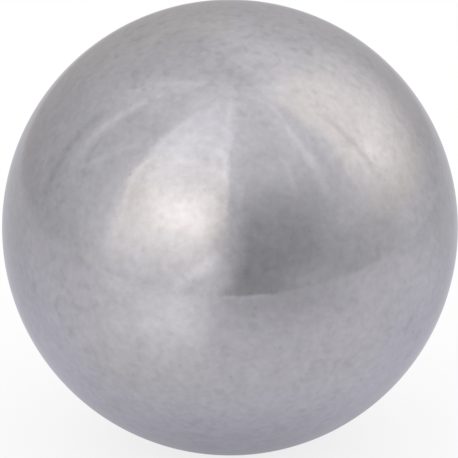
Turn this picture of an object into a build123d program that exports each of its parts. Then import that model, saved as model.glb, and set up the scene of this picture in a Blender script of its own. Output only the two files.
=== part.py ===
from build123d import *
import os

# A solid steel ball, ground round and lapped to a satin polish: one piece, with no bore, flat,
# seam or groove. The origin is the ball's centre and +Z is up. Sizes are in millimetres.
# The diameter is the ball's one driving size.
BALL_DIAMETER = 50.8


def make_ball():
    """One solid sphere about the origin, its poles on the Z axis."""
    ball = Sphere(radius=BALL_DIAMETER / 2)
    ball.label = "ball"
    return ball


os.makedirs("parts", exist_ok=True)
export_step(make_ball(), "parts/ball.step")
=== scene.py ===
import math

import bpy
import numpy as np
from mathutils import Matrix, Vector


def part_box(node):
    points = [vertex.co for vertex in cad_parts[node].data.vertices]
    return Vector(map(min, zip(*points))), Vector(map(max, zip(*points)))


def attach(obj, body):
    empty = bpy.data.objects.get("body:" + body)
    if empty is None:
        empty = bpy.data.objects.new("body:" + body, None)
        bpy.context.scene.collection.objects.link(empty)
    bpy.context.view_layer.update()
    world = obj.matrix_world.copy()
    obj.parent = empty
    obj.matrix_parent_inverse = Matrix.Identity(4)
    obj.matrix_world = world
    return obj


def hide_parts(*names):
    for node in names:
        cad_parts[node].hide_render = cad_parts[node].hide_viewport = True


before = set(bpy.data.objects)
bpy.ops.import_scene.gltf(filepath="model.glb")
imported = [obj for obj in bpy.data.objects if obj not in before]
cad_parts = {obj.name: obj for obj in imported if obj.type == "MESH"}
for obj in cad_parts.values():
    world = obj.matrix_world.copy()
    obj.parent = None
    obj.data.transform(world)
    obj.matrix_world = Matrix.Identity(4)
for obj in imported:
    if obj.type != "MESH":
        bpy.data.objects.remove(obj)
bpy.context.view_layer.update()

# ---- The ball ------------------------------------------------------------------------------
# One solid ball of hard steel: forged, ground between plates, then lapped and tumbled. That
# leaves a bright, faintly hazy skin with shallow waves, a fine clouded grain and a few pits.

ball_low, ball_high = (np.array(corner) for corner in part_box("ball"))
BALL_CENTRE = (ball_low + ball_high) / 2
BALL_RADIUS = (ball_high[2] - ball_low[2]) / 2

PATCH_CELLS = 128          # cells along each side of the six patches that cover the ball
PATCH_MARGIN = 0.02        # share of a patch's square left clear round it in the UV map
WAVE_COUNT = 90            # lapping waves that cross the ball
WAVE_LENGTHS = (0.0011, 0.0042)    # shortest and longest wave
WAVE_SLOPE = 0.0020        # steepness that all the waves come to together

STEEL = (0.545, 0.540, 0.560)
STEEL_ROUGHNESS = 0.08
CLOUDS_PER_MM = 0.42
CLOUD_TONE = 0.055         # how much lighter or darker the clouds make the steel
CLOUD_GLOSS = 0.02         # and how much rougher or smoother
GRAIN_PER_MM = 1.25
GRAIN_TONE = 0.07
GRAIN_GLOSS = 0.02
FLECKS_PER_MM = 0.75
FLECK_DRIFTS_PER_MM = 0.16
FLECK_CROWN = (0.67, 0.945)    # shares of the ball's radius above which the flecks thicken
FLECK_TONE = 0.105
FLECK_GLOSS = 0.05
PIT_CELLS_PER_MM = 0.75
PIT_SHARE = 0.08           # of the cells, those that hold a pit
PIT_EDGES = (0.22, 0.06)   # from a pit's rim to its full depth, in cells from its middle
PIT_TONE = 0.10
PIT_GLOSS = 0.15
MARKS_PER_MM = 1.3
MARK_HEIGHT = 0.000006     # of the fine lapping marks, and a pit is half as deep


def lapping_waves(directions):
    """Height of the skin over a true ball: the sum of faint sine waves that run in random
    directions, each as high as its share of the slope allows, so short waves are the lowest."""
    chance = np.random.default_rng(7)
    shortest, longest = WAVE_LENGTHS
    height = np.zeros(len(directions))
    for _ in range(WAVE_COUNT):
        heading = chance.normal(size=3)
        heading /= np.linalg.norm(heading)
        length = shortest * (longest / shortest) ** chance.random()
        turn = 2 * math.pi / length
        amplitude = WAVE_SLOPE * math.sqrt(2 / WAVE_COUNT) / turn
        phase = 2 * math.pi * chance.random()
        height += amplitude * np.sin(turn * BALL_RADIUS * (directions @ heading) + phase)
    return height


def ball_patches():
    """Six square grids pushed out to a ball: a grid point's direction is its patch's outward
    axis plus the tangents of its two angles, each from -45 to 45 degrees, times the patch's
    two side axes, made one unit long. Shared edge points are merged, so the ball is closed."""
    angle = np.linspace(-math.pi / 4, math.pi / 4, PATCH_CELLS + 1)
    across, along = np.meshgrid(np.tan(angle), np.tan(angle), indexing="ij")
    step = np.linspace(PATCH_MARGIN, 1 - PATCH_MARGIN, PATCH_CELLS + 1)
    map_across, map_along = np.meshgrid(step, step, indexing="ij")
    number = np.arange((PATCH_CELLS + 1) ** 2).reshape(PATCH_CELLS + 1, PATCH_CELLS + 1)
    corners = np.stack([number[:-1, :-1], number[1:, :-1], number[1:, 1:], number[:-1, 1:]], -1)
    directions, faces, places = [], [], []
    for patch in range(6):
        outward = np.roll([1.0, 0.0, 0.0], patch // 2) * (1 if patch % 2 == 0 else -1)
        side = np.roll([0.0, 1.0, 0.0], patch // 2)
        other = np.cross(outward, side)
        grid = outward + across[..., None] * side + along[..., None] * other
        directions.append(grid.reshape(-1, 3))
        faces.append(corners.reshape(-1, 4) + patch * number.size)
        place = np.stack([(map_across + patch % 3) / 3, (map_along + patch // 3) / 2], -1)
        places.append(place.reshape(-1, 2))
    directions = np.concatenate(directions)
    directions /= np.linalg.norm(directions, axis=1, keepdims=True)
    faces, places = np.concatenate(faces), np.concatenate(places)
    _, first, shared = np.unique(directions.round(7), axis=0, return_index=True, return_inverse=True)
    return directions[first], shared.reshape(-1)[faces], places[faces.reshape(-1)]


def ball_material():
    """Bare polished steel. The clouded grain, flecks and pits change its tone and gloss a
    little, the fine lapping marks and pits are bump, and all are laid out in millimetres."""
    material = bpy.data.materials.new("Polished steel")
    material.use_nodes = True
    nodes, links = material.node_tree.nodes, material.node_tree.links
    steel = nodes["Principled BSDF"]
    steel.inputs["Metallic"].default_value = 1.0

    place = nodes.new("ShaderNodeTexCoord")
    millimetres = nodes.new("ShaderNodeVectorMath")
    millimetres.operation = "SCALE"
    millimetres.inputs["Scale"].default_value = 1000.0
    links.new(place.outputs["Object"], millimetres.inputs[0])

    def noise(per_mm, detail, roughness, distortion=0.0):
        texture = nodes.new("ShaderNodeTexNoise")
        texture.inputs["Scale"].default_value = per_mm
        texture.inputs["Detail"].default_value = detail
        texture.inputs["Roughness"].default_value = roughness
        texture.inputs["Distortion"].default_value = distortion
        links.new(millimetres.outputs[0], texture.inputs["Vector"])
        return texture.outputs["Fac"]

    def spread(value, low, high):
        """The middle half of a noise, stretched to run from low to high."""
        reach = nodes.new("ShaderNodeMapRange")
        reach.inputs["From Min"].default_value = 0.25
        reach.inputs["From Max"].default_value = 0.75
        reach.inputs["To Min"].default_value = low
        reach.inputs["To Max"].default_value = high
        links.new(value, reach.inputs["Value"])
        return reach.outputs["Result"]

    def band(value, start, end):
        """0 where the value is at start, 1 at end, with an even S between them."""
        reach = nodes.new("ShaderNodeMapRange")
        reach.interpolation_type = "SMOOTHSTEP"
        reach.inputs["From Min"].default_value = start
        reach.inputs["From Max"].default_value = end
        links.new(value, reach.inputs["Value"])
        return reach.outputs["Result"]

    def maths(operation, first, second):
        node = nodes.new("ShaderNodeMath")
        node.operation = operation
        for socket, value in zip(node.inputs, (first, second)):
            if isinstance(value, (int, float)):
                socket.default_value = value
            else:
                links.new(value, socket)
        return node.outputs[0]

    clouds = noise(CLOUDS_PER_MM, 5.0, 0.62, 0.6)
    grain = noise(GRAIN_PER_MM, 3.0, 0.55)

    # flecks: dull grey smudges about a millimetre across, in drifts, and thickest on top
    height = nodes.new("ShaderNodeSeparateXYZ")
    links.new(millimetres.outputs[0], height.inputs[0])
    crown = band(height.outputs["Z"], *(1000 * BALL_RADIUS * share for share in FLECK_CROWN))
    drifts = spread(noise(FLECK_DRIFTS_PER_MM, 2.0, 0.5), 0.0, 1.0)
    crowd = maths("ADD", drifts, maths("MULTIPLY", crown, 0.5))
    flecks = maths("MULTIPLY", band(noise(FLECKS_PER_MM, 1.0, 0.5), 0.50, 0.72), crowd)

    # pits: about one cell in twelve holds one, a dark dull spot a third of a millimetre across
    cells = nodes.new("ShaderNodeTexVoronoi")
    cells.inputs["Scale"].default_value = PIT_CELLS_PER_MM
    links.new(millimetres.outputs[0], cells.inputs["Vector"])
    lot = nodes.new("ShaderNodeSeparateColor")
    links.new(cells.outputs["Color"], lot.inputs["Color"])
    chosen = maths("LESS_THAN", lot.outputs["Red"], PIT_SHARE)
    pits = maths("MULTIPLY", chosen, band(cells.outputs["Distance"], *PIT_EDGES))

    tone = maths("ADD", spread(clouds, 1 - CLOUD_TONE, 1 + CLOUD_TONE),
                 spread(grain, -GRAIN_TONE, GRAIN_TONE))
    tone = maths("SUBTRACT", tone, maths("MULTIPLY", flecks, FLECK_TONE))
    tone = maths("SUBTRACT", tone, maths("MULTIPLY", pits, PIT_TONE))
    colour = nodes.new("ShaderNodeVectorMath")
    colour.operation = "SCALE"
    colour.inputs[0].default_value = STEEL
    links.new(tone, colour.inputs["Scale"])
    links.new(colour.outputs[0], steel.inputs["Base Color"])

    gloss = maths("ADD", spread(clouds, STEEL_ROUGHNESS - CLOUD_GLOSS, STEEL_ROUGHNESS + CLOUD_GLOSS),
                  spread(grain, -GRAIN_GLOSS, GRAIN_GLOSS))
    gloss = maths("ADD", gloss, maths("MULTIPLY", flecks, FLECK_GLOSS))
    gloss = maths("ADD", gloss, maths("MULTIPLY", pits, PIT_GLOSS))
    links.new(gloss, steel.inputs["Roughness"])

    marks = noise(MARKS_PER_MM, 3.0, 0.55)
    bump = nodes.new("ShaderNodeBump")
    bump.inputs["Strength"].default_value = 1.0
    bump.inputs["Distance"].default_value = MARK_HEIGHT
    links.new(maths("SUBTRACT", marks, maths("MULTIPLY", pits, 0.5)), bump.inputs["Height"])
    links.new(bump.outputs["Normal"], steel.inputs["Normal"])
    return material


directions, faces, places = ball_patches()
points = BALL_CENTRE + directions * (BALL_RADIUS + lapping_waves(directions))[:, None]
ball_mesh = bpy.data.meshes.new("ball_skin")
ball_mesh.from_pydata(points, [], faces)
ball_mesh.uv_layers.new(name="OFBake").data.foreach_set("uv", places.ravel())
ball_mesh.shade_smooth()
ball_mesh.materials.append(ball_material())
ball = bpy.data.objects.new("ball_skin", ball_mesh)
bpy.context.scene.collection.objects.link(ball)
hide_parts("ball")
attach(ball, "root")

# ---- The light tent ------------------------------------------------------------------------
# A pale cloth cone sewn from panels stands round the ball, with its point overhead and a slit
# in front for the lens. No lamp lights it: the light and shade that lamps outside would give it
# are painted into its glow, and only the steel's gloss sees the cloth.

TENT_HEIGHT = 14 * BALL_RADIUS
TENT_ROOM = 9.3            # how far the cloth's foot stands from the ball, in ball radii
TENT_OFFSET = 4.1          # how much nearer it is in front, and further behind
TENT_TOP = 89.8            # degrees up to its last ring, a hair short of the point
TENT_STEPS = (720, 240)    # round the tent, and from its foot to its point
# tints of the painted glow: cool away from the painted lamplight, warm in it and low at the back
COOL_PAINTED_GLOW = np.array([1.007, 0.995, 1.025])
WARM_PAINTED_GLOW = np.array([1.05, 0.995, 0.957])


def rise(value, start, end):
    """0 up to start, 1 from end on, and an even S between them."""
    share = np.clip((value - start) / (end - start), 0, 1)
    return share * share * (3 - 2 * share)


def span(value, start, full, fading, gone):
    """1 between full and fading, 0 up to start and from gone on, and an even S at each end."""
    return rise(value, start, full) * (1 - rise(value, fading, gone))


def hump(value, middle, spread):
    """A bell that is 1 at its middle and about a third at spread to each side."""
    return np.exp(-((value - middle) / spread) ** 2)


def facing(azimuth, middle):
    """1 towards the middle azimuth, 0 at right angles to it and -1 away from it."""
    return np.cos(np.radians(azimuth - middle))


def blend(share, low, high):
    """low where the share is 0, high where it is 1."""
    return low + share * (high - low)


def plain_cloth_painted_light(azimuth, elevation):
    """Painted light of the cloth with no lamp close behind it: it grows lighter upwards as a power of
    its height, has painted shade behind the ball, and is lighter in front, at the right and in a
    painted spill of key light."""
    glow = 0.55 + 0.42 * np.clip(elevation / 90, 0, 1) ** 1.2
    glow = glow + 0.08 * (1 - rise(np.abs(azimuth), 50, 75)) * rise(elevation, 22, 45)
    glow = glow - 0.05 * rise(facing(azimuth, -152), 0.70, 0.93) * span(elevation, -8, 0, 24, 40)
    glow = glow - 0.09 * rise(facing(azimuth, -145), 0.84, 0.97) * span(elevation, 28, 50, 74, 84)
    glow = glow + 0.05 * span(-azimuth, 70, 90, 150, 170) * (1 - rise(elevation, -7, 1))
    glow = glow + 0.04 * hump(azimuth, -105, 9) * span(elevation, 34, 46, 60, 72)
    glow = glow + 0.14 * hump(azimuth, 137, 15) * hump(elevation, 35, 13)
    glow = glow + 0.08 * hump(azimuth, 134, 34) * hump(elevation, 63, 13)
    # a painted pool of key light spilling onto the low cloth
    painted_spill = span(azimuth, -105, -62, -50, -20) * (1 - rise(elevation, 8, 55))
    return glow + (0.16 + 0.08 * hump(azimuth, -62, 8)) * painted_spill


def key_panel_painted_light(azimuth, elevation, start, slit):
    """The panel from its left seam at start to the slit, with the key light's glow painted on it:
    brightest a quarter of the way up, with painted shade along the seam and at the slit's lip. A
    crease runs up to the right across it, a painted highlight with a painted shade line under it."""
    key = 0.90 + 0.36 * rise(elevation, -10, 24) - 0.24 * rise(elevation, 38, 88)
    key = key - 0.06 * hump(elevation, -9, 5)
    # painted shade along the panel's left seam
    dull = 0.04 + 0.17 * rise(elevation, 14, 28) - 0.06 * rise(elevation, 38, 50)
    key = key - dull * (1 - rise(azimuth, start + 2, start + 20))
    key = key - 0.12 * hump(azimuth, start + 7, 7) * hump(elevation, 20, 10)
    key = key + 0.10 * hump(azimuth, -43, 7) * rise(elevation, 54, 64)
    key = key - 0.05 * hump(azimuth, -33, 7) * hump(elevation, 28, 6)
    key = key - 0.09 * hump(azimuth, -17, 12) * span(elevation, 28, 38, 50, 60)
    key = key - 0.10 * hump(azimuth, -8, 4) * hump(elevation, 17, 7)
    key = key - 0.26 * rise(azimuth, slit - 12, slit - 1) * span(elevation, 2, 14, 30, 46)
    key = key + 0.36 * hump(azimuth, -24, 13) * hump(elevation, 24.5, 10)
    # the crease: a painted highlight with a painted shade line under it
    across = elevation - 0.85 * azimuth
    crease = hump(across, 12, 3) - 0.5 * hump(across, 5.5, 3)
    return key + 0.14 * span(azimuth, -30, -20, -8, -3) * crease


def front_opening_painted_shade_and_light(azimuth, elevation):
    """The painted shade of the dim opening right of the slit, most of it low down, and the painted
    light that its lip and hem catch."""
    edge = -3 + 10.3 * rise(elevation, -15, 9)
    opening = span(azimuth, edge - 5, edge + 3, 28, 58) * (1 - rise(elevation, 18, 50))
    change = -0.16 * opening * (1 - 0.8 * rise(-elevation, -8, 6) * rise(azimuth, 14, 34))
    change = change + 0.08 * hump(azimuth, 4, 5) * span(elevation, 24, 40, 54, 64)
    change = change + 0.09 * hump(azimuth, 1, 3) * hump(elevation, -5, 5)
    change = change - 0.04 * hump(azimuth, 7, 3) * hump(elevation, 12, 6)
    return change - 0.06 * hump(azimuth, 32, 9) * hump(elevation, 69, 7)


def fill_panels_painted_light(azimuth, elevation):
    """The right panels, painted with the light that a weaker warm lamp would give from further off:
    dim at the foot and brightest a third of the way up, with a few paler folds painted as highlights."""
    fill = 0.69 + 0.47 * rise(elevation, -2, 33) - 0.16 * rise(elevation, 38, 90)
    fill = fill - 0.04 * hump(azimuth, 78, 7) * hump(elevation, 42, 14)
    fill = fill + 0.08 * hump(azimuth, 76, 10) * hump(elevation, 24, 7)
    fill = fill + 0.05 * hump(azimuth, 96, 8) * hump(elevation, 4, 6)
    fill = fill + 0.15 * hump(azimuth, 92, 5) * hump(elevation, 28, 7)
    fill = fill + 0.08 * hump(azimuth, 93, 14) * hump(elevation, 71, 7)
    return fill + 0.07 * hump(azimuth, 110, 8) * hump(elevation, 59, 6)


def seams(azimuth, elevation):
    """The seams and folds that run up to the point, each a painted highlight or painted shade line
    that is a bell across its azimuth: its middle, width and light, and the heights that it spans."""
    lines = [
        (52 + 12 * rise(elevation, 55, 75), 2.3, 0.18, (15, 50, 72, 84)),
        (35.5, 1.6, 0.10, (28, 36, 46, 54)),
        (85.5, 2.2, -0.20, (18, 30, 48, 58)),
        (-96, 3.0, 0.16, (10, 42, 58, 76)),
        (-111, 2.6, 0.09, (46, 58, 78, 86)),
        (-106, 2.2, -0.10, (0, 12, 36, 50)),
        (elevation - 113, 2.2, 0.08, (18, 28, 42, 50)),
        (-77 - 0.4 * elevation, 1.8, -0.06, (16, 24, 34, 42)),
    ]
    change = 0
    for middle, width, light, heights in lines:
        change = change + light * hump(azimuth, middle, width) * span(elevation, *heights)
    return change


def gathers(azimuth, elevation):
    """The cloth drawn together at the point: eleven uneven pleats in painted light and shade, and a
    knot of painted shade.
    """
    pleats = np.cos(np.radians(11 * azimuth + 60 * np.sin(np.radians(3 * azimuth))))
    change = 0.035 * pleats * hump(elevation, 78, 9)
    change = change - 0.05 * hump(azimuth, 38, 14) * hump(elevation, 77, 6)
    change = change - 0.12 * hump(elevation, 81, 7) * rise(facing(azimuth, 145), -0.2, 0.8)
    return change - 0.06 * hump(elevation, 86, 6)


def cloth_glow(azimuth, elevation):
    """Painted brightness of the cloth in degrees round the ball, 0 in front and 90 at the right, and
    degrees above the ball's centre: plain cloth, over it the panels with their painted lamplight,
    each by its share, and then the painted light and shade that the opening, the seams and the
    gathers add or take away."""
    start = -59 + 12 * rise(elevation, 32, 80)
    start = start + 2 * hump(elevation, 19, 8) + 2 * hump(elevation, 43, 5)
    slit = -4.5 + 3.5 * rise(elevation, 2, 28) + 8 * rise(elevation, 52, 75)
    soft = 7.0 - 4.8 * rise(elevation, 10, 26) + 4 * rise(elevation, 55, 70)
    inside = rise(azimuth, start - 5, start + 4)
    panel = inside * (1 - rise(azimuth, slit - soft, slit + soft))
    glow = blend(panel, plain_cloth_painted_light(azimuth, elevation), key_panel_painted_light(azimuth, elevation, start, slit))
    glow = glow + front_opening_painted_shade_and_light(azimuth, elevation)

    low = 1 - rise(elevation, 20, 36)
    right = span(azimuth, 60 - 8 * low, 80 + 22 * low, 104, 152)
    glow = blend(right, glow, fill_panels_painted_light(azimuth, elevation))
    glow = glow + 0.06 * hump(azimuth, 63, 13) * span(elevation, 8, 16, 58, 68)

    # a painted highlight along the fold by the panel's left seam
    painted_fold_highlight = inside * hump(azimuth, start + 3, 1.7)
    glow = glow + 0.13 * painted_fold_highlight * span(elevation, 6, 30, 60, 76)
    glow = glow + seams(azimuth, elevation) + gathers(azimuth, elevation)

    # painted highlights: faint rings of light across the lit panel
    away = np.hypot((azimuth + 21) * 0.85, elevation - 22)
    rings = hump(away, 26, 1.6) + hump(away, 33, 1.6) + 0.6 * hump(away, 38.5, 1.4)
    glow = glow + 0.085 * panel * rings * rise(elevation, 25, 40)

    # where the painted lamplight is warm: the lit panels, the right panels, and the back low down
    warm = panel * hump(elevation, 24, 22) + right * span(elevation, 0, 12, 60, 80)
    rear = 0.50 * rise(-azimuth, 100, 160) + 0.25 * rise(azimuth, 100, 160)
    warm = warm + rear * (1 - rise(elevation, 40, 70))
    return glow[..., None] * blend(np.clip(warm, 0, 1)[..., None], COOL_PAINTED_GLOW, WARM_PAINTED_GLOW)


def grid_faces(rows, columns):
    """Four-cornered faces of a rows by columns grid of points that closes on itself sideways."""
    number = np.arange(rows * columns).reshape(rows, columns)
    beside = np.roll(number, -1, axis=1)
    return np.stack([number[:-1], beside[:-1], beside[1:], number[1:]], -1).reshape(-1, 4)


def glowing_mesh(name, points, faces, glow):
    """A mesh that holds its painted light, its own brightness, as a colour at each point."""
    mesh = bpy.data.meshes.new(name)
    mesh.from_pydata(points, [], faces)
    colour = mesh.color_attributes.new("glow", "FLOAT_COLOR", "POINT")
    colour.data.foreach_set("color", np.c_[glow, np.ones(len(glow))].ravel())
    return mesh


def tent_surface():
    """The cone in rays from the ball's centre. A ray at azimuth a and elevation e is as long as
    the foot's distance at a, less the part that the cone has closed in at that height."""
    around, upward = TENT_STEPS
    azimuth = np.linspace(-180, 180, around, endpoint=False)
    foot = BALL_RADIUS * (TENT_ROOM - TENT_OFFSET * np.cos(np.radians(azimuth)))
    lowest = -np.degrees(np.arctan2(BALL_RADIUS, foot))
    share = np.linspace(0, 1, upward)[:, None]
    elevation = lowest + (TENT_TOP - lowest) * share
    azimuth, foot = np.broadcast_to(azimuth, elevation.shape), np.broadcast_to(foot, elevation.shape)
    level, lift = np.cos(np.radians(elevation)), np.sin(np.radians(elevation))
    ray = foot * (1 - BALL_RADIUS / TENT_HEIGHT) / (level + foot * lift / TENT_HEIGHT)
    a = np.radians(azimuth)
    place = np.stack([ray * level * np.sin(a), -ray * level * np.cos(a), ray * lift], -1)
    glow = cloth_glow(azimuth, elevation).reshape(-1, 3)
    return BALL_CENTRE + place.reshape(-1, 3), grid_faces(upward, around), glow


def glow_material(name):
    """Shines with the painted light that the mesh's own colour holds, and isn't sampled as a lamp."""
    material = bpy.data.materials.new(name)
    material.use_nodes = True
    nodes, links = material.node_tree.nodes, material.node_tree.links
    nodes.remove(nodes["Principled BSDF"])
    glow = nodes.new("ShaderNodeAttribute")
    glow.attribute_name = "glow"
    shine = nodes.new("ShaderNodeEmission")
    links.new(glow.outputs["Color"], shine.inputs["Color"])
    links.new(shine.outputs[0], nodes["Material Output"].inputs["Surface"])
    material.cycles.emission_sampling = "NONE"
    return material


# The tent glows with painted light and shade; it is no lamp.
tent = bpy.data.objects.new("Light tent", glowing_mesh("Light tent", *tent_surface()))
tent.data.materials.append(glow_material("Tent cloth"))
tent.visible_camera = False
tent.visible_diffuse = False
tent.visible_shadow = False
bpy.context.scene.collection.objects.link(tent)

# ---- The floor -----------------------------------------------------------------------------
# A plain pale table top. To the lens it is near white and keeps the ball's soft shadow, and
# in the steel it shows a painted glow: the grey that the tent's light would give it, with
# painted pools of key light and a painted shadow under the ball.

FLOOR_REACH = 90           # how far it reaches from the ball, in ball radii
FLOOR_START = 0.002        # the first ring's share of the steps, which are cubed
FLOOR_STEPS = (420, 240)   # outwards, and round
# tints of the painted glow: cool painted shade under the ball, the far floor, and the painted pool of
# key light
UNDER_BALL_SHADE_TINT = np.array([1.000, 0.990, 1.100])    # under the ball, out of the lamps' reach
FAR_TINT = np.array([1.008, 0.995, 1.040])
PAINTED_BEAM_TINT = np.array([1.012, 0.995, 1.022])
FLOOR_WHITE = 0.78         # the share of the floor's white that no shadow reaches


def floor_glow(x, y):
    """Painted brightness of the table top in the tent, x to the right and y away from the lens in
    ball radii: even grey, with painted light in front and a painted pool where the key light falls
    in, a painted shadow under the ball, and along the front flap's hem a painted shade line in the
    key light's pool and a painted highlight in front."""
    distance = np.hypot(x, y)
    azimuth = np.degrees(np.arctan2(x, -y))
    grey = 0.605 + 0.13 * (1 - rise(np.abs(azimuth), 60, 125))
    # painted shade by the tent's opening and painted light from its right panels
    grey = grey - 0.17 * hump(azimuth, 18, 27) * rise(distance, 1.0, 4.0)
    grey = grey - 0.05 * hump(azimuth, 44, 16) * rise(distance, 2, 4)
    grey = grey - 0.05 * hump(azimuth, 68, 14) * rise(distance, 4.5, 6.5)
    side = rise(distance, 1.4, 2.8) * (1 - 0.6 * rise(distance, 5, 7))
    grey = grey + 0.08 * hump(azimuth, 98, 20) * side
    grey = grey - 0.03 * hump(azimuth, -78, 16) * rise(distance, 4, 6)
    # a painted pool of key light, brightest at its core
    painted_beam = span(azimuth, -72, -44, -13, -3)
    grey = grey + painted_beam * (0.10 * rise(distance, 1.0, 2.4) + 0.06 * rise(distance, 3, 6))
    painted_beam_core = hump(azimuth, -25, 14) * (1 - 0.7 * rise(distance, 3.6, 6))
    grey = grey + 0.18 * painted_beam_core * rise(distance, 1.2, 2.7)
    grey = grey + 0.07 * hump(azimuth, -55, 8) * rise(distance, 4, 5)
    grey = grey - 0.04 * hump(azimuth, -64, 20) * hump(distance, 1.1, 0.5)
    # a painted shadow under the ball
    grey = grey - 0.43 * hump(distance, 0, 0.7)
    hem = 6.65 - 1.5 * np.cos(np.radians(azimuth))
    grey = grey - 0.08 * painted_beam * hump(distance, hem, 0.15)
    grey = grey + 0.12 * span(azimuth, -5, 0, 14, 26) * hump(distance, hem - 0.18, 0.14)
    aside = rise(np.abs(azimuth), 55, 110)
    far = rise(distance, 0.6 + 0.3 * aside, 1.4 + 4 * aside)[..., None]
    tint = blend(far, UNDER_BALL_SHADE_TINT, blend(painted_beam[..., None], FAR_TINT, PAINTED_BEAM_TINT))
    return grey[..., None] * tint


def floor_surface():
    """Rings round the point under the ball, spaced ever wider as the cube of their number."""
    outward, around = FLOOR_STEPS
    distance = FLOOR_REACH * np.linspace(FLOOR_START, 1, outward)[:, None] ** 3
    a = np.linspace(-math.pi, math.pi, around, endpoint=False)
    x, y = distance * np.sin(a), -distance * np.cos(a)
    place = np.stack([x, y, np.full_like(x, -1.0)], -1).reshape(-1, 3) * BALL_RADIUS
    return BALL_CENTRE + place, grid_faces(outward, around)[:, ::-1], floor_glow(x, y).reshape(-1, 3)


def floor_material():
    """What the lens sees is part white and part matt paint that takes the shadow, and every
    other ray sees the grey glow with its painted light and painted shadow."""
    material = glow_material("Table top")
    nodes, links = material.node_tree.nodes, material.node_tree.links
    white = nodes.new("ShaderNodeEmission")
    white.inputs["Strength"].default_value = FLOOR_WHITE
    paint = nodes.new("ShaderNodeBsdfDiffuse")
    paint.inputs["Color"].default_value = (*[1 - FLOOR_WHITE] * 3, 1)
    seen = nodes.new("ShaderNodeAddShader")
    links.new(white.outputs[0], seen.inputs[0])
    links.new(paint.outputs[0], seen.inputs[1])
    rays = nodes.new("ShaderNodeLightPath")
    choice = nodes.new("ShaderNodeMixShader")
    links.new(rays.outputs["Is Camera Ray"], choice.inputs["Fac"])
    links.new(nodes["Emission"].outputs[0], choice.inputs[1])
    links.new(seen.outputs[0], choice.inputs[2])
    links.new(choice.outputs[0], nodes["Material Output"].inputs["Surface"])
    return material


floor = bpy.data.objects.new("Table top", glowing_mesh("Table top", *floor_surface()))
floor.data.materials.append(floor_material())
bpy.context.scene.collection.objects.link(floor)

# ---- The room and the lens -----------------------------------------------------------------
# A white room round it all lights the floor evenly, and the steel doesn't see it. A long lens
# looks down on the ball from the front, and the ball fills its frame.

LENS_ELEVATION = math.radians(20)
LENS_DISTANCE = 0.45
BALL_SHARE = 0.4978        # the ball's radius as a share of the frame's width
AIM = (-0.00011, -0.00017)  # how far right of and above the ball's centre the lens aims

world = bpy.data.worlds.new("White room")
bpy.context.scene.world = world
world.use_nodes = True
world.node_tree.nodes["Background"].inputs["Color"].default_value = (1, 1, 1, 1)
world.cycles_visibility.glossy = False
bpy.context.scene.view_settings.view_transform = "Standard"

lens_data = bpy.data.cameras.new("Lens")
half_width = math.tan(math.asin(BALL_RADIUS / LENS_DISTANCE)) / (2 * BALL_SHARE)
lens_data.lens = lens_data.sensor_width / 2 / half_width
lens = bpy.data.objects.new("Lens", lens_data)
bpy.context.scene.collection.objects.link(lens)
bpy.context.scene.camera = lens
back = Vector((0, -math.cos(LENS_ELEVATION), math.sin(LENS_ELEVATION)))
frame_up = Vector((0, math.sin(LENS_ELEVATION), math.cos(LENS_ELEVATION)))
lens.location = Vector(BALL_CENTRE) + back * LENS_DISTANCE + Vector((AIM[0], 0, 0)) + frame_up * AIM[1]
lens.rotation_euler = back.to_track_quat("Z", "Y").to_euler()
lens_data.clip_start = 0.01
